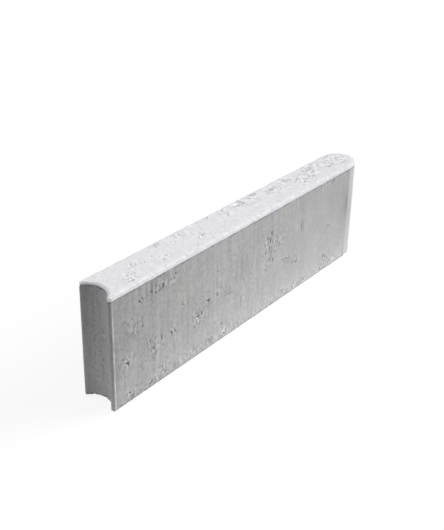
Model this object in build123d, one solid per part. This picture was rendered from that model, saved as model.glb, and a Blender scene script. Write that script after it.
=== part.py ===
from build123d import *
import os
from math import sqrt

# Straight edging kerb of pressed concrete, standing upright on its narrow base.
# One casting: a grey body with a pale facing mix pressed onto its top in the same mould,
# a hollow upright end, and a rounded upright tongue at the other end.
# Millimetres. X runs along the kerb, Y through its thickness (front is -Y), Z is up.

# Overall size
LENGTH = 1000.0         # lands of the hollow end to the tip of the tongue
HEIGHT = 300.0
THICK = 100.0

# Rounded tongue
TONGUE_STEP = 2.0       # set in from each long face, where the mould's end plate starts
TONGUE_STRAIGHT = 12.0  # straight cheek before the round starts

# Hollow end, which takes the tongue of the next kerb
HOLLOW_DEPTH = 22.5     # deepest line of the hollow behind the lands
HOLLOW_CLEAR = 1.0      # hollow radius over tongue radius

# Arrises
LAND_FLAT = 2.0         # left of each land by the round of its outer corner
LAND_R = 1.5            # upright edges between the lands and the hollow
SHOULDER_R = 1.0        # upright edges where the long faces stop at the tongue
TOP_R = 2.5             # round the top, where the press plate closes the mould
BASE_R = 1.5            # round the base

# Worked out from the sizes above
HALF = THICK / 2
TONGUE_R = HALF - TONGUE_STEP
TONGUE_CX = LENGTH - TONGUE_R
BODY_END = TONGUE_CX - TONGUE_STRAIGHT
HOLLOW_R = TONGUE_R + HOLLOW_CLEAR
HOLLOW_HALF = sqrt(HOLLOW_R ** 2 - (HOLLOW_R - HOLLOW_DEPTH) ** 2)
LAND = HALF - HOLLOW_HALF
HORN_R = LAND - LAND_FLAT

os.makedirs("parts", exist_ok=True)


def upright(shape, x, y):
    """Upright edges of the shape at one point of the plan and its mirror image."""
    return [
        e for e in shape.edges().filter_by(Axis.Z)
        if abs(e.center().X - x) < 0.01 and abs(abs(e.center().Y) - y) < 0.01
    ]


# Plan of the kerb, drawn from the middle of the hollow round to the tongue and back
with BuildSketch() as plan:
    with BuildLine():
        Polyline(
            (0, HOLLOW_HALF),
            (0, HALF),
            (BODY_END, HALF),
            (BODY_END, TONGUE_R),
            (TONGUE_CX, TONGUE_R),
        )
        ThreePointArc((TONGUE_CX, TONGUE_R), (LENGTH, 0), (TONGUE_CX, -TONGUE_R))
        Polyline(
            (TONGUE_CX, -TONGUE_R),
            (BODY_END, -TONGUE_R),
            (BODY_END, -HALF),
            (0, -HALF),
            (0, -HOLLOW_HALF),
        )
        ThreePointArc((0, -HOLLOW_HALF), (HOLLOW_DEPTH, 0), (0, HOLLOW_HALF))
    make_face()

kerb = extrude(plan.sketch, HEIGHT)

# Upright edges as the mould leaves them, the outer corners of the horns well rounded
kerb = fillet(upright(kerb, 0, HALF), HORN_R)
kerb = fillet(upright(kerb, 0, HOLLOW_HALF), LAND_R)
kerb = fillet(upright(kerb, BODY_END, HALF), SHOULDER_R)

# Rubbed edges round the top and the base
kerb = fillet(kerb.faces().sort_by(Axis.Z)[-1].outer_wire().edges(), TOP_R)
kerb = fillet(kerb.faces().sort_by(Axis.Z)[0].outer_wire().edges(), BASE_R)

# Set the middle of the base on the origin
kerb = Pos(-LENGTH / 2, 0, 0) * kerb

export_step(kerb, "parts/kerb.step")
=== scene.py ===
import random
from math import pi, radians, sqrt

import bpy
import numpy
from mathutils import Euler, Matrix, Vector
from mathutils.kdtree import KDTree


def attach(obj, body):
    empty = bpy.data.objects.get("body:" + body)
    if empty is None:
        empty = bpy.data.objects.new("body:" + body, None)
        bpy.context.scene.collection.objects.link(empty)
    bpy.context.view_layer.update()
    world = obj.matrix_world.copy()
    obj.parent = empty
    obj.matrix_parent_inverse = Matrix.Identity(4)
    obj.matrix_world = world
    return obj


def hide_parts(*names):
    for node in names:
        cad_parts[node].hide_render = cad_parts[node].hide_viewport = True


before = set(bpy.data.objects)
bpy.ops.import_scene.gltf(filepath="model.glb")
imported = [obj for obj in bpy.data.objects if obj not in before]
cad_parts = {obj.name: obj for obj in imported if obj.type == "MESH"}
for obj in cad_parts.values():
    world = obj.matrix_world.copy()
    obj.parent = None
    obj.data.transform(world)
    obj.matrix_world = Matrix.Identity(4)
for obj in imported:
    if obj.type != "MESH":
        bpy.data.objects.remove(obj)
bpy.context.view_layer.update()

# Straight edging kerb of pressed concrete, standing on its narrow base.
# Metres. X runs along the kerb, front is -Y, Z is up, as in the CAD.

# Sizes of the casting, the same as the CAD solid's
LENGTH = 1.000
HEIGHT = 0.300
THICK = 0.100
TONGUE_STEP = 0.002         # tongue set in from each long face
TONGUE_STRAIGHT = 0.012     # straight cheek before the round
HOLLOW_DEPTH = 0.0225
HOLLOW_CLEAR = 0.001        # hollow radius over tongue radius
LAND_FLAT = 0.002           # left of each land by the round of its outer corner
TOP_R = 0.0025
BASE_R = 0.0015

HOLLOW_X = -LENGTH / 2
TONGUE_R = THICK / 2 - TONGUE_STEP
SHOULDER_X = LENGTH / 2 - TONGUE_R - TONGUE_STRAIGHT
HOLLOW_R = TONGUE_R + HOLLOW_CLEAR
HOLLOW_HALF = sqrt(HOLLOW_R ** 2 - (HOLLOW_R - HOLLOW_DEPTH) ** 2)
HORN_R = THICK / 2 - HOLLOW_HALF - LAND_FLAT
FRONT_Y = -THICK / 2

# Surface of the casting
MESH_STEP = 0.0032          # side of the even quads that the relief is cut in
FACING_DEPTH = 0.012        # pale facing mix pressed onto the top
PATCH_REACH = 0.010         # how far a patch or a blowhole's outline reaches into the casting
ARRIS_KEEP = 0.004          # small pores stay this far from the foot and the top's arrises
PORE_GAP = 2.1 * MESH_STEP          # between two small pores
BLOWHOLE_GAP = 3.5 * MESH_STEP      # between a small pore and a blowhole's middle
BLOWHOLE_REACH = 4 * MESH_STEP      # no blowhole goes further from its middle
PATCH_FADE = 0.8            # how fast a patch fades out at its half sizes
TINY = 0.0001               # nearer than this is the same place


# Helpers for modelling

def select_only(piece):
    bpy.ops.object.select_all(action='DESELECT')
    piece.select_set(True)
    bpy.context.view_layer.objects.active = piece


def pick(piece, kind, wanted):
    """Leaves piece in edit mode with only those of its VERT, EDGE or FACE selected that are wanted."""
    bpy.ops.object.mode_set(mode='EDIT')
    bpy.ops.mesh.select_mode(type=kind)
    bpy.ops.mesh.select_all(action='DESELECT')
    bpy.ops.object.mode_set(mode='OBJECT')
    mesh = piece.data
    parts = {'VERT': mesh.vertices, 'EDGE': mesh.edges, 'FACE': mesh.polygons}[kind]
    for part in parts:
        part.select = bool(wanted(part))
    bpy.ops.object.mode_set(mode='EDIT')


def apply_modifier(piece, kind, **settings):
    modifier = piece.modifiers.new(kind.lower(), kind)
    for name, value in settings.items():
        setattr(modifier, name, value)
    select_only(piece)
    bpy.ops.object.modifier_apply(modifier=modifier.name)


def edge_ends(mesh, edge):
    return [mesh.vertices[i].co for i in edge.vertices]


def nearest(parts, place_of):
    """A lookup of mesh parts by their place."""
    tree = KDTree(len(parts))
    for part in parts:
        tree.insert(place_of(part), part.index)
    tree.balance()
    return tree


# The casting

def press_kerb():
    """The plain casting: a block with a hollow upright end, a rounded upright tongue and small arrises."""
    bpy.ops.object.select_all(action='DESELECT')
    bpy.ops.mesh.primitive_cube_add(
        size=1,
        location=((HOLLOW_X + SHOULDER_X) / 2, 0, HEIGHT / 2),
        scale=(SHOULDER_X - HOLLOW_X, THICK, HEIGHT),
    )
    kerb = bpy.context.object
    kerb.name = "kerb_casting"
    kerb.data.name = "kerb_casting"
    bpy.ops.object.transform_apply(location=True, rotation=True, scale=True)

    # Tongue: shoulder set in, straight cheek, then a half round made by bevelling its two end edges
    pick(kerb, 'FACE', lambda face: face.normal.x > 0.9)
    bpy.ops.mesh.extrude_region_move(TRANSFORM_OT_translate={"value": (0, 0, 0)})
    bpy.ops.transform.resize(
        value=(1, 2 * TONGUE_R / THICK, 1), center_override=(SHOULDER_X, 0, HEIGHT / 2)
    )
    bpy.ops.mesh.extrude_region_move(TRANSFORM_OT_translate={"value": (TONGUE_STRAIGHT, 0, 0)})
    bpy.ops.mesh.extrude_region_move(TRANSFORM_OT_translate={"value": (TONGUE_R, 0, 0)})

    def upright_at(x, y):
        """Says yes to the upright edges at one point of the plan and its mirror image."""
        def wanted(edge):
            low, high = edge_ends(kerb.data, edge)
            tall = abs(low.z - high.z) > HEIGHT / 2
            return tall and abs(low.x - x) < TINY and abs(abs(low.y) - y) < TINY
        return wanted

    pick(kerb, 'EDGE', upright_at(LENGTH / 2, TONGUE_R))
    bpy.ops.mesh.bevel(
        affect='EDGES', offset=TONGUE_R, segments=24, profile=0.5, clamp_overlap=False
    )
    bpy.ops.mesh.select_all(action='SELECT')
    bpy.ops.mesh.remove_doubles(threshold=TINY)
    bpy.ops.mesh.normals_make_consistent(inside=False)
    bpy.ops.object.mode_set(mode='OBJECT')

    # Hollow end, cut by a round core
    bpy.ops.object.select_all(action='DESELECT')
    bpy.ops.mesh.primitive_cylinder_add(
        vertices=160,
        radius=HOLLOW_R,
        depth=HEIGHT * 1.2,
        location=(HOLLOW_X + HOLLOW_DEPTH - HOLLOW_R, 0, HEIGHT / 2),
    )
    core = bpy.context.object
    apply_modifier(kerb, 'BOOLEAN', operation='DIFFERENCE', object=core, solver='EXACT')
    bpy.data.objects.remove(core)

    # Horns beside the hollow, then the arrises round the top and the base
    pick(kerb, 'EDGE', upright_at(HOLLOW_X, THICK / 2))
    bpy.ops.mesh.bevel(affect='EDGES', offset=HORN_R, segments=8, clamp_overlap=True)
    bpy.ops.object.mode_set(mode='OBJECT')
    for level, radius in ((HEIGHT, TOP_R), (0, BASE_R)):
        pick(kerb, 'EDGE', lambda edge: all(
            abs(end.z - level) < TINY for end in edge_ends(kerb.data, edge)
        ))
        bpy.ops.mesh.bevel(affect='EDGES', offset=radius, segments=3, clamp_overlap=True)
        bpy.ops.object.mode_set(mode='OBJECT')
    return kerb


def cloud(name, size, **settings):
    """A cloud texture whose lumps are that size, for a Displace modifier."""
    texture = bpy.data.textures.new(name, 'CLOUDS')
    texture.noise_scale = size
    texture.use_clamp = True
    for key, value in settings.items():
        setattr(texture, key, value)
    return texture


def weather(kerb):
    """Even mesh, then the unevenness of the faces and the wear of the arrises, all cut inwards."""
    apply_modifier(kerb, 'REMESH', mode='VOXEL', voxel_size=MESH_STEP)

    wall, flat, base = 0.2, 0.98, -0.9      # how far up a normal points on each
    groups = {name: kerb.vertex_groups.new(name=name) for name in ("arris", "foot", "off_base")}
    for vertex in kerb.data.vertices:
        up = vertex.normal.z
        if wall < abs(up) < flat:
            groups["arris"].add([vertex.index], 1.0, 'REPLACE')
        if -flat < up < -wall:
            groups["foot"].add([vertex.index], 1.0, 'REPLACE')
        if up > base:
            groups["off_base"].add([vertex.index], 1.0, 'REPLACE')

    for name, size, depth, group, look in (
        ("face_unevenness", 0.09, 0.0007, "off_base", {"noise_depth": 2}),
        ("skin_grain", 0.007, 0.0003, "off_base", {"noise_depth": 1}),
        ("arris_wear", 0.010, 0.0011, "arris", {"noise_depth": 1}),
        ("arris_chips", 0.022, 0.0024, "arris", {"noise_depth": 1, "contrast": 4, "intensity": 0.35}),
        ("foot_chips", 0.011, 0.0018, "foot", {"noise_depth": 1, "contrast": 3, "intensity": 0.6}),
    ):
        apply_modifier(
            kerb, 'DISPLACE', texture=cloud(name, size, **look),
            strength=-depth, mid_level=0, vertex_group=group,
        )
    kerb.vertex_groups.clear()


# Patches where the skin of the front is open and coarse, as the mix was dry there:
# middle (x, z), half width, half height, and how coarse from 0 to 1
FRONT_COARSE = (
    (-0.455, 0.115, 0.020, 0.022, 1.0),
    (-0.425, 0.182, 0.026, 0.014, 1.0),
    (-0.445, 0.215, 0.022, 0.012, 0.6),
    (-0.406, 0.250, 0.012, 0.008, 1.0),
    (-0.412, 0.072, 0.016, 0.014, 0.5),
    (-0.385, 0.128, 0.014, 0.012, 0.7),
    (-0.368, 0.100, 0.012, 0.022, 0.9),
    (-0.360, 0.285, 0.060, 0.008, 0.6),
    (-0.344, 0.119, 0.008, 0.010, 0.9),
    (-0.340, 0.258, 0.030, 0.014, 0.8),
    (-0.306, 0.254, 0.014, 0.012, 1.0),
    (-0.306, 0.120, 0.014, 0.012, 1.0),
    (-0.275, 0.175, 0.014, 0.012, 0.7),
    (-0.215, 0.108, 0.028, 0.022, 1.0),
    (-0.185, 0.140, 0.014, 0.012, 0.8),
    (-0.150, 0.145, 0.014, 0.012, 0.7),
    (-0.105, 0.128, 0.014, 0.010, 0.8),
    (-0.078, 0.225, 0.014, 0.014, 0.5),
    (-0.050, 0.080, 0.016, 0.016, 0.5),
    (-0.045, 0.134, 0.014, 0.012, 0.5),
    (-0.010, 0.152, 0.010, 0.012, 0.6),
    (0.060, 0.205, 0.026, 0.026, 1.0),
    (0.060, 0.150, 0.020, 0.020, 0.7),
    (0.105, 0.190, 0.020, 0.024, 0.9),
    (0.135, 0.120, 0.020, 0.008, 1.0),
    (0.185, 0.098, 0.030, 0.008, 0.7),
    (0.225, 0.180, 0.012, 0.016, 0.4),
    (0.330, 0.040, 0.022, 0.018, 0.8),
    (0.340, 0.280, 0.030, 0.010, 0.7),
    (0.341, 0.140, 0.010, 0.008, 0.8),
    (0.425, 0.280, 0.016, 0.008, 0.8),
    # along the foot
    (-0.440, 0.020, 0.030, 0.012, 0.9),
    (-0.365, 0.018, 0.035, 0.014, 0.9),
    (-0.338, 0.032, 0.020, 0.015, 0.9),
    (-0.280, 0.018, 0.030, 0.010, 0.7),
    (-0.230, 0.022, 0.030, 0.010, 0.8),
    (-0.170, 0.020, 0.030, 0.012, 0.8),
    (-0.120, 0.024, 0.025, 0.018, 1.0),
    (-0.060, 0.014, 0.030, 0.010, 0.6),
    (0.010, 0.012, 0.030, 0.008, 0.6),
    (0.080, 0.018, 0.030, 0.012, 0.8),
    (0.130, 0.020, 0.025, 0.012, 0.8),
    (0.180, 0.014, 0.030, 0.010, 0.8),
    (0.235, 0.012, 0.030, 0.010, 0.8),
    (0.300, 0.014, 0.030, 0.010, 0.7),
    (0.360, 0.020, 0.030, 0.014, 0.8),
    (0.430, 0.012, 0.020, 0.010, 0.6),
)
# The same on the top: (x, y), half length, half width, how coarse
TOP_COARSE = (
    (-0.460, 0.020, 0.020, 0.020, 0.5),
    (-0.410, -0.025, 0.025, 0.022, 1.0),
    (-0.370, 0.008, 0.030, 0.015, 0.7),
    (-0.305, -0.020, 0.020, 0.015, 0.9),
    (-0.270, 0.035, 0.030, 0.012, 0.8),
    (-0.225, -0.042, 0.030, 0.008, 0.7),
    (-0.200, 0.032, 0.030, 0.014, 0.8),
    (-0.160, -0.010, 0.025, 0.015, 1.0),
    (-0.090, 0.038, 0.020, 0.012, 0.8),
    (-0.035, 0.020, 0.030, 0.020, 0.6),
    (0.020, 0.030, 0.030, 0.014, 1.0),
    (0.050, 0.000, 0.030, 0.020, 0.5),
    (0.085, 0.030, 0.030, 0.018, 0.8),
    (0.150, 0.020, 0.025, 0.016, 0.8),
    (0.180, 0.005, 0.030, 0.015, 0.7),
    (0.220, 0.030, 0.030, 0.016, 0.8),
    (0.260, -0.005, 0.030, 0.018, 1.0),
    (0.275, -0.038, 0.030, 0.008, 0.6),
    (0.320, 0.010, 0.035, 0.025, 1.0),
    (0.350, 0.030, 0.030, 0.015, 0.9),
    (0.400, 0.005, 0.030, 0.020, 1.0),
    (0.420, -0.030, 0.030, 0.014, 0.7),
    (0.440, 0.010, 0.030, 0.025, 1.0),
)
# Patches of the front with drawn lines, where the casting slid out of the mould, as FRONT_COARSE
FRONT_DRAWN = (
    (-0.485, 0.090, 0.010, 0.050, 1.0),
    (-0.390, 0.200, 0.015, 0.040, 0.5),
    (-0.370, 0.270, 0.090, 0.030, 1.0),
    (-0.370, 0.100, 0.020, 0.040, 0.8),
    (-0.300, 0.090, 0.020, 0.030, 0.7),
    (-0.235, 0.265, 0.040, 0.030, 0.7),
    (-0.210, 0.120, 0.020, 0.050, 0.5),
    (-0.198, 0.230, 0.016, 0.030, 1.0),
    (-0.130, 0.170, 0.030, 0.050, 0.6),
    (-0.120, 0.262, 0.050, 0.030, 0.6),
    (-0.060, 0.190, 0.040, 0.045, 0.6),
    (0.005, 0.110, 0.040, 0.040, 0.6),
    (0.020, 0.140, 0.030, 0.030, 0.6),
    (0.060, 0.200, 0.030, 0.050, 0.7),
    (0.070, 0.270, 0.020, 0.025, 0.7),
    (0.185, 0.262, 0.030, 0.030, 0.6),
    (0.197, 0.193, 0.020, 0.020, 1.0),
    (0.222, 0.205, 0.008, 0.020, 0.8),
    (0.305, 0.275, 0.020, 0.015, 0.7),
    (0.430, 0.180, 0.012, 0.060, 0.8),
)
# Broad patches of the front that dried paler (+) or darker (-), as FRONT_COARSE
FRONT_TONE = (
    (-0.485, 0.140, 0.016, 0.080, -0.07),
    (-0.355, 0.235, 0.022, 0.022, 0.05),
    (-0.360, 0.085, 0.035, 0.030, 0.05),
    (-0.235, 0.160, 0.030, 0.080, -0.04),
    (-0.175, 0.265, 0.025, 0.022, -0.08),
    (-0.175, 0.100, 0.030, 0.022, -0.05),
    (-0.110, 0.145, 0.030, 0.030, -0.06),
    (-0.055, 0.185, 0.035, 0.040, -0.08),
    (0.000, 0.225, 0.035, 0.030, -0.04),
    (0.070, 0.145, 0.045, 0.025, 0.05),
    (0.310, 0.115, 0.060, 0.030, 0.04),
    (0.365, 0.220, 0.035, 0.050, -0.07),
    (0.420, 0.170, 0.022, 0.055, -0.14),
)


def on_side(rng, y, left, low, high):
    """A place drawn at random on the front or the back, short of the shoulder."""
    return Vector((rng.uniform(left, SHOULDER_X - 0.010), y, rng.uniform(low, high)))


def on_end(rng, x, high):
    """The same in the hollow or on the tongue's nose."""
    return Vector((x, rng.uniform(-0.03, 0.03), rng.uniform(0.02, high)))


def hidden_patches(rng, count):
    """Patches for the back and the ends, which are as the front is."""
    patches = []
    for _ in range(count):
        at = on_side(rng, -FRONT_Y, -0.48, 0.01, 0.27)
        half = Vector((rng.uniform(0.010, 0.030), PATCH_REACH, rng.uniform(0.010, 0.024)))
        patches.append((at, half, rng.uniform(0.5, 1.0)))
    for _ in range(count // 4):
        at = on_end(rng, LENGTH / 2, 0.27)
        patches.append((at, Vector((0.03, 0.012, 0.014)), rng.uniform(0.2, 0.5)))
        at = on_end(rng, HOLLOW_X + HOLLOW_DEPTH, 0.27)
        patches.append((at, Vector((0.03, 0.012, 0.020)), rng.uniform(0.3, 0.7)))
    return patches


def on_front(rows):
    """Rows of the front as (place, half sizes) and whatever else a row holds."""
    return [
        (Vector((x, FRONT_Y, z)), Vector((wide, PATCH_REACH, high)), *rest)
        for x, z, wide, high, *rest in rows
    ]


def on_top(rows):
    """The same for the top."""
    return [
        (Vector((x, y, HEIGHT)), Vector((long, wide, PATCH_REACH)), *rest)
        for x, y, long, wide, *rest in rows
    ]


def mark_skin(kerb):
    """Writes to each mesh point how coarse and how drawn the skin is there, from 0 to 1, and its tone."""
    mesh = kerb.data
    places = numpy.empty(len(mesh.vertices) * 3)
    mesh.vertices.foreach_get("co", places)
    places = places.reshape(-1, 3)
    rng = random.Random(11)
    coarse = on_front(FRONT_COARSE) + on_top(TOP_COARSE) + hidden_patches(rng, 44)
    drawn = on_front(FRONT_DRAWN) + hidden_patches(rng, 16)
    for name, patches, gather in (
        ("coarse", coarse, numpy.maximum),
        ("drawn", drawn, numpy.maximum),
        ("tone", on_front(FRONT_TONE), numpy.add),
    ):
        level = numpy.zeros(len(places))
        for at, half, most in patches:
            away = (((places - numpy.array(at)) / numpy.array(half)) ** 2).sum(axis=1)
            level = gather(level, most * numpy.exp(-away * PATCH_FADE))
        mesh.attributes.new(name, 'FLOAT', 'POINT')
        mesh.attributes[name].data.foreach_set("value", level)


# Blowholes that stand out on the front: middle (x, z), half width, half height
DEEP_BLOWHOLES = (
    (-0.461, 0.112, 0.0040, 0.0025),
    (-0.452, 0.108, 0.0028, 0.0070),
    (-0.450, 0.026, 0.0025, 0.0040),
    (-0.412, 0.247, 0.0040, 0.0030),
    (-0.313, 0.117, 0.0040, 0.0030),
    (-0.220, 0.114, 0.0050, 0.0030),
    (-0.182, 0.142, 0.0045, 0.0050),
    (-0.120, 0.015, 0.0040, 0.0030),
    (0.042, 0.177, 0.0030, 0.0050),
    (0.341, 0.141, 0.0050, 0.0028),
)
# Shallow ones
FRONT_BLOWHOLES = (
    (-0.469, 0.154, 0.0030, 0.0025),
    (-0.440, 0.010, 0.0040, 0.0030),
    (-0.403, 0.253, 0.0030, 0.0030),
    (-0.384, 0.014, 0.0050, 0.0030),
    (-0.383, 0.130, 0.0040, 0.0030),
    (-0.375, 0.256, 0.0030, 0.0050),
    (-0.371, 0.103, 0.0025, 0.0060),
    (-0.363, 0.249, 0.0035, 0.0030),
    (-0.346, 0.119, 0.0025, 0.0060),
    (-0.344, 0.036, 0.0030, 0.0030),
    (-0.339, 0.257, 0.0035, 0.0060),
    (-0.335, 0.020, 0.0040, 0.0030),
    (-0.312, 0.259, 0.0045, 0.0025),
    (-0.300, 0.115, 0.0035, 0.0045),
    (-0.297, 0.269, 0.0030, 0.0050),
    (-0.275, 0.174, 0.0040, 0.0030),
    (-0.234, 0.025, 0.0060, 0.0025),
    (-0.216, 0.091, 0.0040, 0.0030),
    (-0.206, 0.121, 0.0030, 0.0040),
    (-0.181, 0.028, 0.0040, 0.0030),
    (-0.156, 0.144, 0.0040, 0.0025),
    (-0.147, 0.206, 0.0025, 0.0040),
    (-0.131, 0.048, 0.0050, 0.0040),
    (-0.101, 0.125, 0.0055, 0.0028),
    (0.047, 0.123, 0.0040, 0.0030),
    (0.050, 0.197, 0.0050, 0.0025),
    (0.067, 0.225, 0.0025, 0.0090),
    (0.075, 0.144, 0.0025, 0.0050),
    (0.084, 0.166, 0.0050, 0.0030),
    (0.119, 0.123, 0.0030, 0.0030),
    (0.125, 0.025, 0.0040, 0.0030),
    (0.137, 0.120, 0.0050, 0.0040),
    (0.172, 0.014, 0.0050, 0.0030),
    (0.184, 0.092, 0.0050, 0.0030),
    (0.231, 0.012, 0.0050, 0.0030),
    (0.323, 0.048, 0.0040, 0.0040),
    (0.353, 0.025, 0.0040, 0.0030),
)
# Pits in the facing, (x, y), half length, half width
TOP_PITS = (
    (-0.462, 0.000, 0.0040, 0.0030),
    (-0.417, -0.034, 0.0030, 0.0030),
    (-0.413, -0.012, 0.0045, 0.0025),
    (-0.375, 0.017, 0.0035, 0.0025),
    (-0.366, 0.010, 0.0030, 0.0025),
    (-0.345, 0.002, 0.0030, 0.0025),
    (-0.316, 0.008, 0.0030, 0.0025),
    (-0.312, -0.025, 0.0030, 0.0025),
    (-0.292, -0.014, 0.0030, 0.0025),
    (-0.278, 0.040, 0.0050, 0.0030),
    (-0.200, 0.034, 0.0050, 0.0030),
    (-0.172, 0.019, 0.0040, 0.0030),
    (-0.162, -0.011, 0.0060, 0.0030),
    (-0.091, 0.040, 0.0065, 0.0040),
    (-0.039, 0.011, 0.0040, 0.0030),
    (-0.034, 0.037, 0.0050, 0.0040),
    (0.022, 0.031, 0.0050, 0.0030),
    (0.081, 0.039, 0.0040, 0.0030),
    (0.097, 0.003, 0.0030, 0.0025),
    (0.153, 0.022, 0.0040, 0.0030),
    (0.175, 0.006, 0.0040, 0.0025),
    (0.225, 0.034, 0.0070, 0.0045),
    (0.252, -0.017, 0.0040, 0.0030),
    (0.275, -0.037, 0.0040, 0.0025),
    (0.300, -0.012, 0.0050, 0.0030),
    (0.322, 0.016, 0.0050, 0.0030),
    (0.347, 0.033, 0.0050, 0.0030),
    (0.387, -0.009, 0.0040, 0.0030),
    (0.406, 0.009, 0.0055, 0.0030),
    (0.437, 0.020, 0.0065, 0.0040),
    (0.453, -0.006, 0.0055, 0.0035),
)


def blowholes(deep):
    """Middle and half sizes of each blowhole of one kind, deep or shallow."""
    rng = random.Random(5 if deep else 6)
    found = on_front(DEEP_BLOWHOLES) if deep else on_front(FRONT_BLOWHOLES) + on_top(TOP_PITS)
    for _ in range(10 if deep else 34):
        at = on_side(rng, -FRONT_Y, -0.48, 0.012, 0.275)
        half = Vector((rng.uniform(0.0025, 0.0050), PATCH_REACH, rng.uniform(0.0025, 0.0060)))
        found.append((at, half))
    for _ in range(3):
        found.append((on_end(rng, LENGTH / 2, 0.27), Vector((PATCH_REACH, 0.004, 0.004))))
    return found


def mark_floor(mesh, dirt_and_shade):
    """The points that are selected are the floors of pores. dirt_and_shade is how dark they are painted,
    from 0 to 1, partly for the dirt they gather and partly as painted shade.
    """
    pore = mesh.attributes["pore"].data
    for vertex in mesh.vertices:
        if vertex.select:
            pore[vertex.index].value = dirt_and_shade


def sink_blowholes(kerb, deep):
    """Each blowhole is a few faces of the skin, inset and pushed in twice, with its rim softened."""
    middles = nearest(kerb.data.polygons, lambda face: face.center)
    chosen = set()
    for at, half in blowholes(deep):
        inside = [
            index for co, index, _ in middles.find_range(at, BLOWHOLE_REACH)
            if sum(((co[i] - at[i]) / half[i]) ** 2 for i in range(3)) < 1
        ]
        chosen.update(inside or [middles.find(at)[1]])
    # how far each push goes in, and how dark its floor is painted, partly for dirt and partly as painted
    # shade
    push, dirt_and_shade = (0.0012, 0.9) if deep else (0.0006, 0.42)
    pick(kerb, 'FACE', lambda face: face.index in chosen)
    bpy.ops.mesh.inset(thickness=0.0006, depth=-push)
    bpy.ops.mesh.vertices_smooth(factor=0.35)
    bpy.ops.mesh.inset(thickness=0.0004, depth=-push)
    bpy.ops.object.mode_set(mode='OBJECT')
    mark_floor(kerb.data, dirt_and_shade)


# Small pores on the front and in the facing come in swarms: (x, z) or (x, y), half sizes, how many
FRONT_SWARMS = (
    (-0.460, 0.110, 0.020, 0.030, 10),
    (-0.430, 0.190, 0.030, 0.016, 16),
    (-0.370, 0.110, 0.035, 0.025, 12),
    (-0.330, 0.255, 0.040, 0.016, 12),
    (-0.380, 0.015, 0.080, 0.012, 16),
    (-0.215, 0.108, 0.026, 0.022, 14),
    (-0.200, 0.020, 0.060, 0.012, 10),
    (-0.160, 0.140, 0.030, 0.022, 10),
    (-0.100, 0.160, 0.050, 0.040, 10),
    (0.070, 0.190, 0.035, 0.035, 20),
    (0.150, 0.110, 0.040, 0.008, 8),
    (0.120, 0.020, 0.120, 0.012, 16),
    (0.330, 0.035, 0.030, 0.016, 9),
)
TOP_SWARMS = (
    (-0.400, -0.020, 0.035, 0.022, 22),
    (-0.310, -0.020, 0.020, 0.015, 8),
    (-0.220, 0.020, 0.060, 0.022, 10),
    (-0.140, -0.010, 0.040, 0.020, 8),
    (0.000, 0.030, 0.050, 0.012, 8),
    (0.120, 0.020, 0.050, 0.020, 10),
    (0.240, 0.015, 0.040, 0.022, 14),
    (0.330, 0.015, 0.035, 0.022, 18),
    (0.420, 0.010, 0.030, 0.022, 16),
)


def pore_places():
    """Where air left a small pore, as (place, how large from 0 to 1)."""
    rng = random.Random(7)
    found = []

    def spread(centre, half):
        return centre + half * rng.triangular(-1.6, 1.6, 0)

    for x, z, wide, high, count in FRONT_SWARMS:
        for _ in range(count):
            found.append((Vector((spread(x, wide), FRONT_Y, spread(z, high))), rng.random()))
    for x, y, long, wide, count in TOP_SWARMS:
        for _ in range(count):
            found.append((Vector((spread(x, long), spread(y, wide), HEIGHT)), rng.random()))
    # The front has few outside its swarms, and the back has no swarms but about as many pores
    for side_y, count in ((FRONT_Y, 36), (-FRONT_Y, 170)):
        for _ in range(count):
            found.append((on_side(rng, side_y, -0.49, 0.01, 0.28), rng.random()))
    for end_x in (HOLLOW_X + HOLLOW_DEPTH, LENGTH / 2):
        for _ in range(22):
            found.append((on_end(rng, end_x, 0.28), rng.random()))
    return found


# Kinds of small pore: radius, depth, and the size from which a pore is of that kind
PORE_KINDS = (
    (0.0028, 0.0030, 0.82),
    (0.0022, 0.0024, 0.45),
    (0.0015, 0.0018, 0.0),
)


def sink_pores(kerb):
    """Each pore starts as a small round face bevelled from one mesh point, inset twice and pushed in."""
    points = nearest(kerb.data.vertices, lambda vertex: vertex.co)
    blowhole_places = [at for at, _ in blowholes(deep=True) + blowholes(deep=False)]
    kept = []
    for place, size in pore_places():
        co, _, _ = points.find(place)
        by_top = co.z > HEIGHT - ARRIS_KEEP and abs(co.y) > THICK / 2 - ARRIS_KEEP
        by_foot = co.z < ARRIS_KEEP
        crowded = any((co - other).length < PORE_GAP for other, _ in kept)
        taken = any((co - at).length < BLOWHOLE_GAP for at in blowhole_places)
        if not (by_top or by_foot or crowded or taken):
            kept.append((co.copy(), size))

    upper = 1.0
    for radius, depth, lower in PORE_KINDS:
        points = nearest(kerb.data.vertices, lambda vertex: vertex.co)
        chosen = {points.find(co)[1] for co, size in kept if lower <= size < upper}
        upper = lower
        pick(kerb, 'VERT', lambda vertex: vertex.index in chosen)
        bpy.ops.mesh.bevel(
            affect='VERTICES', offset=radius, offset_type='OFFSET', segments=2,
            profile=0.086, clamp_overlap=True,
        )
        bpy.ops.mesh.select_mode(type='FACE')
        bpy.ops.mesh.inset(thickness=radius * 0.25, depth=-depth * 0.8, use_individual=True)
        bpy.ops.mesh.inset(thickness=radius * 0.30, depth=-depth * 0.2, use_individual=True)
        bpy.ops.object.mode_set(mode='OBJECT')
        mark_floor(kerb.data, dirt_and_shade=0.8)


def clean_up(kerb):
    """The underside is flat and rests on the floor, so it needs only one face. Points that the bevels
    left on top of each other are merged."""
    pick(kerb, 'FACE', lambda face: face.normal.z < -0.9999 and face.center.z < TINY)
    bpy.ops.mesh.dissolve_faces()
    bpy.ops.mesh.select_all(action='SELECT')
    bpy.ops.mesh.remove_doubles(threshold=TINY / 2)
    bpy.ops.object.mode_set(mode='OBJECT')


# Materials

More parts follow.
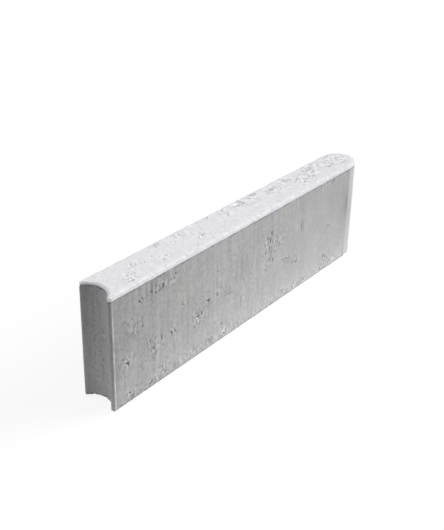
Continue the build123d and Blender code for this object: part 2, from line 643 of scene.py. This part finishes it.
# Lumps in the mix: size, detail, roughness, squeeze (under 1 draws them taller than wide) and shift.
# The real sand is mostly under 1 mm, too fine to show, so sand, grit and crumbs are drawn coarser.
MIX_LUMPS = {
    "sand": (0.0016, 2, 0.6, 1, 0),
    "relief": (0.0022, 4, 0.7, 1, 0),
    "paste": (0.0040, 2, 0.6, 1, 0),        # of the facing
    "grit": (0.0050, 3, 0.7, 1, 0),
    "crumb": (0.0052, 1, 0.5, 0.62, 0),     # shown by an open skin, taller than wide
    "drawn": (0.0075, 2, 0.6, 0.05, 0),     # lines that the mould's sides drew
    "waver": (0.012, 3, 0.5, 1, 0),         # of the facing's lower edge
    "fleck": (0.015, 1, 0.5, 1, 0),         # of stone in the facing, larger than life for the far end
    # breaks up the painted shade under the facing and the darker band along the foot
    "dirt_and_shade": (0.025, 2, 0.5, 1, 0),
    "bleed": (0.030, 2, 0.5, 1, 0),         # of paste at the corner of the horn
    "mottle": (0.060, 4, 0.6, 1, 0),
    "warm": (0.060, 1, 0.5, 1, 0),
    "cool": (0.070, 1, 0.5, 1, 0.53),
}
EDGE_WAVER = 0.004          # of the facing's lower edge
THIN_IN_HOLLOW = 0.006      # taken off the facing's depth there
SEAM_Z = HEIGHT - FACING_DEPTH + EDGE_WAVER / 2
NOSE_FROM = LENGTH / 2 - 0.030      # the tongue turns away from the front between these
NOSE_TO = LENGTH / 2 - 0.012
SMOOTHER_FROM = 0.05                # the front is smoother towards the tongue, from here to there
SMOOTHER_TO = 0.25


def linear(hex_colour):
    """An sRGB hex colour as linear red, green, blue and alpha."""
    def channel(text):
        value = int(text, 16) / 255
        return value / 12.92 if value <= 0.04045 else ((value + 0.055) / 1.055) ** 2.4
    return tuple(channel(hex_colour[i:i + 2]) for i in (1, 3, 5)) + (1.0,)


def add(tree, kind, inputs=(), **settings):
    """Adds a node with its settings. inputs are in the order of its sockets, or by their names or
    numbers. Each is a value, a socket, or a node whose first output is meant."""
    node = tree.nodes.new("ShaderNode" + kind)
    for name, value in settings.items():
        setattr(node, name, value)
    for name, value in (inputs if isinstance(inputs, dict) else dict(enumerate(inputs))).items():
        if isinstance(value, bpy.types.Node):
            value = value.outputs[0]
        if isinstance(value, bpy.types.NodeSocket):
            tree.links.new(value, node.inputs[name])
        else:
            node.inputs[name].default_value = value
    return node


def empty_material(name):
    material = bpy.data.materials.new(name)
    material.use_nodes = True
    material.node_tree.nodes.clear()
    return material


def mix_patterns(tree):
    """What the body and the facing share: the place on the casting, the lumps in the mix, the skin as
    mark_skin wrote it, the hollow, the facing's edge, and the grains of the coarse patches."""
    here = add(tree, "TexCoord").outputs["Object"]
    x, y, z = add(tree, "SeparateXYZ", (here,)).outputs
    look = {"here": here, "x": x, "y": y, "z": z}
    for name, (size, detail, roughness, squeeze, shift) in MIX_LUMPS.items():
        seat = add(tree, "Mapping", {"Vector": here, "Location": (shift,) * 3, "Scale": (1, 1, squeeze)})
        look[name] = add(tree, "TexNoise", {
            "Vector": seat, "Scale": 1 / size, "Detail": detail, "Roughness": roughness,
        })
    for name in ("coarse", "drawn", "tone", "pore"):
        look["skin_" + name] = add(tree, "Attribute", attribute_name=name).outputs["Fac"]

    plan = add(tree, "CombineXYZ", (x, y))
    axis = (HOLLOW_X + HOLLOW_DEPTH - HOLLOW_R, 0, 0)
    from_axis = add(tree, "VectorMath", (plan, axis), operation='DISTANCE').outputs["Value"]
    in_hollow = add(tree, "MapRange", (from_axis, HOLLOW_R + 0.0008, HOLLOW_R + 0.0022, 1, 0))
    edge = add(tree, "Math", (look["waver"], EDGE_WAVER, z), operation='MULTIPLY_ADD')
    edge = add(tree, "Math", (in_hollow, -THIN_IN_HOLLOW, edge), operation='MULTIPLY_ADD')

    # A little of the coarseness is everywhere
    all_over = add(tree, "MapRange", (x, SMOOTHER_FROM, SMOOTHER_TO, 0.20, 0.12))
    coarse = add(tree, "Math", (look["skin_coarse"], all_over), operation='MAXIMUM')
    look.update(in_hollow=in_hollow, edge=edge, coarse=coarse)
    for name, none, full in (("dark_crumbs", 0.48, 0.37), ("light_crumbs", 0.54, 0.65)):
        look[name] = add(tree, "MapRange", (look["crumb"], none, full, 0, coarse))
    return look


def grey_body(tree, look):
    """Grey body: grit, lines drawn by the mould, broad mottling and coarse patches, a darker foot, painted
    shade under the facing, in the shoulder's step, on the hollow's back side and towards the hollow end,
    and painted light on the tongue's cheek, the lower front towards the tongue and the hollow's front
    side.
    """
    x, y, z, in_hollow = look["x"], look["y"], look["z"], look["in_hollow"]

    # Painted shade under the facing, stronger in the hollow, and a darker band along the foot, both broken
    # here and there
    broken = add(tree, "MapRange", (look["dirt_and_shade"], 0.40, 0.56, 0.2, 1))
    shade = add(tree, "MapRange", (in_hollow, 0, 1, 0.34, 0.55))
    shade = add(tree, "Math", (broken, shade), operation='MULTIPLY')
    painted_shade_under_facing = add(tree, "MapRange", (look["edge"], SEAM_Z - 0.0052, SEAM_Z - 0.0032, 0, shade))
    darker_along_foot = add(tree, "MapRange", (broken, 0.2, 1, 0.5, 1))
    darker_along_foot = add(tree, "MapRange", (z, 0.0034, 0.0075, darker_along_foot, 0))

    # Pale line of paste where the front meets the horn, and painted shade in the step of the shoulder
    off_corner = add(tree, "Math", (x, HOLLOW_X + HORN_R + 0.0012), operation='SUBTRACT')
    off_corner = add(tree, "Math", (off_corner,), operation='ABSOLUTE')
    paste = add(tree, "MapRange", (look["bleed"], 0.35, 0.60, 0.5, 1))
    paste = add(tree, "MapRange", (y, FRONT_Y + 0.0022, FRONT_Y + 0.0012, 0, paste))
    paste = add(tree, "MapRange", (off_corner, 0.0013, 0.0024, paste, 0))
    off_step = add(tree, "Math", (x, SHOULDER_X + 0.0010), operation='SUBTRACT')
    off_step = add(tree, "Math", (off_step,), operation='ABSOLUTE')
    painted_step_shade = add(tree, "MapRange", (off_step, 0.0008, 0.0024, 1, 0))

    # Painted light, paler: the cheek of the tongue and the foot towards the tongue; in the hollow, painted
    # light on its front side and painted shade on its back side
    painted_cheek_light = add(tree, "MapRange", (z, 0.15, 0.26, 0.12, 0.26))
    painted_cheek_light = add(tree, "MapRange", (x, NOSE_FROM, NOSE_TO, painted_cheek_light, 0))
    painted_cheek_light = add(tree, "MapRange", (x, SHOULDER_X + 0.0020, SHOULDER_X + 0.0040, 0, painted_cheek_light))
    painted_foot_light = add(tree, "MapRange", (x, 0, 0.14, 0.027, 0.09))
    painted_foot_light = add(tree, "MapRange", (z, 0.11, 0.02, 0, painted_foot_light))
    painted_hollow_light_and_shade = add(tree, "MapRange", (y, 0.030, -0.040, -0.06, 0.08))

    tone = 1.0
    for mark, change in (
        (painted_shade_under_facing, -1.0),
        (darker_along_foot, -0.36),
        (paste, 0.75),
        (painted_step_shade, -0.18),
        (in_hollow, painted_hollow_light_and_shade),
        (painted_cheek_light, 1.0),
        (painted_foot_light, 1.0),
        (look["skin_tone"], 1.0),
    ):
        tone = add(tree, "Math", (mark, change, tone), operation='MULTIPLY_ADD')

    all_over = add(tree, "MapRange", (x, SMOOTHER_FROM, SMOOTHER_TO, 0.28, 0.12))
    drawn = add(tree, "Math", (look["skin_drawn"], all_over), operation='MAXIMUM')
    lines = add(tree, "Math", (look["drawn"], 0.5), operation='SUBTRACT')
    lines = add(tree, "Math", (lines, drawn), operation='MULTIPLY')
    lines = add(tree, "Math", (lines, 1.4, 1), operation='MULTIPLY_ADD')
    crumbs = add(tree, "Math", (look["dark_crumbs"], -0.46, 1), operation='MULTIPLY_ADD')
    crumbs = add(tree, "Math", (look["light_crumbs"], 0.38, crumbs), operation='MULTIPLY_ADD')
    # Painted shade, darker towards the hollow end
    painted_shade_towards_hollow = add(tree, "MapRange", (x, -0.50, -0.10, 0.80, 1), interpolation_type='SMOOTHSTEP')
    for part in (
        lines,
        crumbs,
        painted_shade_towards_hollow,
        add(tree, "MapRange", (look["grit"], 0.3, 0.7, 0.97, 1.03)),
        add(tree, "MapRange", (look["sand"], 0.3, 0.7, 0.94, 1.06)),
        add(tree, "MapRange", (look["mottle"], 0.3, 0.7, 0.96, 1.04)),
    ):
        tone = add(tree, "Math", (tone, part), operation='MULTIPLY')

    # Faintly warmer and cooler patches, mostly in the upper half
    colour = linear("#B1B1B1")
    high_up = add(tree, "MapRange", (z, 0.16, 0.25, 0.15, 1))
    for patches, none, full, tint in (("warm", 0.58, 0.70, "#B4B3AE"), ("cool", 0.54, 0.66, "#B0B0B3")):
        share = add(tree, "MapRange", (look[patches], none, full, 0, high_up))
        colour = add(tree, "Mix", {0: share, 6: colour, 7: linear(tint)}, data_type='RGBA').outputs[2]
    return add(tree, "VectorMath", {0: colour, "Scale": tone}, operation='SCALE')


def pale_facing(tree, look):
    """Facing: pale paste with flecks and with grains of grey and white stone, both gathered in the
    coarse patches."""
    x, z, in_hollow, coarse = look["x"], look["z"], look["in_hollow"], look["coarse"]
    flecked = add(tree, "MapRange", (x, -0.30, 0.05, 0.25, 1))
    flecked = add(tree, "Math", (coarse, flecked), operation='MULTIPLY')
    crumbs = 1.0
    for mark, change in (
        (look["dark_crumbs"], -0.30),
        (look["light_crumbs"], 0.12),
        (add(tree, "MapRange", (look["fleck"], 0.43, 0.35, 0, flecked)), -0.42),
        (add(tree, "MapRange", (look["fleck"], 0.55, 0.62, 0, flecked)), 0.27),
    ):
        crumbs = add(tree, "Math", (mark, change, crumbs), operation='MULTIPLY_ADD')

    # Painted light on the rim of the hollow and on the horns' lands, painted shade just below the rim and
    # round the nose
    painted_rim_light_and_shade = add(tree, "MapRange", (z, HEIGHT - 0.0036, HEIGHT - 0.0026, -0.22, 0.20))
    painted_land_light = add(tree, "MapRange", (x, HOLLOW_X + HORN_R, HOLLOW_X + 0.0030, 0, 0.24))
    painted_land_light = add(tree, "MapRange", (in_hollow, 0, 1, painted_land_light, 0))
    painted_nose_shade = add(tree, "MapRange", (x, NOSE_FROM, NOSE_TO, 0, -0.20))
    painted_nose_shade = add(tree, "MapRange", (z, HEIGHT - 0.0015, HEIGHT - 0.0035, 0, painted_nose_shade))
    tone = add(tree, "Math", (in_hollow, painted_rim_light_and_shade, 1), operation='MULTIPLY_ADD')
    for part in (painted_land_light, painted_nose_shade):
        tone = add(tree, "Math", (tone, part), operation='ADD')
    for part in (
        crumbs,
        add(tree, "MapRange", (look["paste"], 0.3, 0.7, 0.97, 1.03)),
        add(tree, "MapRange", (x, -0.05, 0.46, 1, 0.965), interpolation_type='SMOOTHSTEP'),
    ):
        tone = add(tree, "Math", (tone, part), operation='MULTIPLY')
    colour = add(tree, "VectorMath", {0: linear("#E6E6EA")[:3], "Scale": tone}, operation='SCALE')

    # Stones: in a share of the cells of that size, each a disc as large as its chance allows
    gathered = add(tree, "MapRange", (coarse, 0.1, 0.9, 0.30, 1))
    for size, share, stone, shift in ((0.0085, 0.50, "#9E9EA2", 0.11), (0.0075, 0.45, "#FBFBFD", 0.37)):
        seat = add(tree, "Mapping", {"Vector": look["here"], "Location": (shift,) * 3})
        cells = add(tree, "TexVoronoi", {"Vector": seat, "Scale": 1 / size})
        chance = add(tree, "SeparateColor", (cells.outputs["Color"],))
        chance = add(tree, "Math", (chance, gathered), operation='MULTIPLY')
        radius = add(tree, "MapRange", (chance, 1 - share, 1, 0, 0.42))
        inside = add(tree, "Math", (cells.outputs["Distance"], radius), operation='LESS_THAN')
        colour = add(tree, "Mix", {0: inside, 6: colour, 7: linear(stone)}, data_type='RGBA').outputs[2]
    return colour


def pressed_concrete():
    """Semi-dry concrete pressed in a steel mould. To the eye it is quite matt: a grey body with coarse
    patches, drawn lines and dark air pores, under a paler facing of crushed white stone."""
    material = empty_material("pressed_concrete")
    tree = material.node_tree
    look = mix_patterns(tree)
    facing = add(
        tree, "MapRange", (look["edge"], SEAM_Z - 0.0006, SEAM_Z + 0.0006), interpolation_type='SMOOTHSTEP'
    )
    # Pore floors take a dark colour, partly for dirt and partly as painted shade
    in_pore = add(tree, "Math", (look["skin_pore"], 0.92), operation='MULTIPLY')
    colour = grey_body(tree, look)
    pore_dirt_and_shade = linear("#2C2C2E")
    pore_dirt_and_shade = add(tree, "Mix", {0: facing, 6: pore_dirt_and_shade, 7: linear("#85858A")}, data_type='RGBA').outputs[2]
    for share, layer in ((facing, pale_facing(tree, look)), (in_pore, pore_dirt_and_shade)):
        colour = add(tree, "Mix", {0: share, 6: colour, 7: layer}, data_type='RGBA').outputs[2]

    relief = add(tree, "Math", (look["crumb"], look["coarse"]), operation='MULTIPLY')
    relief = add(tree, "Math", (relief, 2, look["relief"]), operation='MULTIPLY_ADD')
    bump = add(tree, "Bump", {"Height": relief, "Strength": 0.65, "Distance": 0.0005})
    shader = add(tree, "BsdfPrincipled", {"Base Color": colour, "Roughness": 0.92, "Normal": bump})
    add(tree, "OutputMaterial", (shader,))
    return material


def camera_share(tree):
    """1 for the rays that show the background: the camera's, and those seen in gloss or through glass."""
    rays = add(tree, "LightPath").outputs
    seen = add(tree, "Math", (rays["Is Camera Ray"], rays["Is Glossy Ray"]), operation='MAXIMUM')
    return add(tree, "Math", (seen, rays["Is Transmission Ray"]), operation='MAXIMUM')


def studio_paper():
    """Matt white paper. Seen straight it is near white and keeps a soft shadow, and it throws light
    back onto the kerb mostly from close by."""
    material = empty_material("studio_paper")
    tree = material.node_tree
    here = add(tree, "TexCoord").outputs["Object"]
    oval = add(tree, "Mapping", {"Vector": here, "Location": (-0.075, 0, 0), "Scale": (0.30, 1, 1)})
    away = add(tree, "VectorMath", (oval,), operation='LENGTH').outputs["Value"]
    bounce = add(tree, "MapRange", (away, 0.22, 0.60, 0.92, 0.16), interpolation_type='SMOOTHSTEP')
    thrown = add(tree, "BsdfDiffuse", (bounce,))
    paper = add(tree, "BsdfDiffuse", (linear("#F2F2F2"),))
    white = add(tree, "Emission", (linear("#FFFFFF"), 1.05))
    seen = add(tree, "MixShader", (0.82, paper, white))
    surface = add(tree, "MixShader", (camera_share(tree), thrown, seen))
    add(tree, "OutputMaterial", (surface,))
    return material


# Build

kerb = press_kerb()
weather(kerb)
mark_skin(kerb)
kerb.data.attributes.new("pore", 'FLOAT', 'POINT')
sink_blowholes(kerb, deep=True)
sink_blowholes(kerb, deep=False)
sink_pores(kerb)
clean_up(kerb)
select_only(kerb)
bpy.ops.object.shade_smooth()
kerb.data.materials.clear()
kerb.data.materials.append(pressed_concrete())
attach(kerb, "root")
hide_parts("kerb")

bpy.ops.object.select_all(action='DESELECT')
bpy.ops.mesh.primitive_plane_add(size=60, location=(0, 0, 0))
floor = bpy.context.object
floor.name = "studio_floor"
floor.data.materials.append(studio_paper())

# Light

world = bpy.data.worlds.new("studio")
bpy.context.scene.world = world
world.use_nodes = True
room = world.node_tree
room.nodes.clear()
soft_sky = add(room, "Background", (linear("#FFFFFF"), 0.388))
backdrop = add(room, "Background", (linear("#FFFFFF"), 1))
add(room, "OutputWorld", (add(room, "MixShader", (camera_share(room), soft_sky, backdrop)),))


def soft_light(name, towards, level, spread):
    """A broad even light from far away. towards points from the kerb to it, and a white face square
    to it renders at that level."""
    lamp = bpy.data.lights.new(name, 'SUN')
    lamp.energy = level * pi
    lamp.angle = radians(spread)
    thing = bpy.data.objects.new(name, lamp)
    thing.location = Vector(towards).normalized() * 3
    thing.rotation_euler = Vector(towards).to_track_quat('Z', 'Y').to_euler()
    bpy.context.scene.collection.objects.link(thing)


soft_light("key", (0.82, -0.44, 0.38), 1.18, 40)
soft_light("fill", (-0.40, 0.82, 0.40), 0.22, 60)
soft_light("end_fill", (-0.85, 0.20, 0.25), 0.14, 60)

# Camera, from in front of the hollow end and above. Angles are in radians.

camera_place = (-1.4941, -1.1755, 1.2572)
tilt = 1.165250             # 0 looks straight down
heading = -0.876871         # 0 looks along +Y
roll = 0.018920
camera = bpy.data.objects.new("camera", bpy.data.cameras.new("camera"))
bpy.context.scene.collection.objects.link(camera)
camera.data.lens = 56.88
camera.data.sensor_width = 36
camera.data.shift_y = -0.2
turned = Euler((tilt, 0, heading)).to_matrix().to_4x4()
camera.matrix_world = Matrix.Translation(camera_place) @ turned @ Matrix.Rotation(roll, 4, 'Z')
bpy.context.scene.camera = camera

bpy.context.scene.view_settings.view_transform = 'Standard'
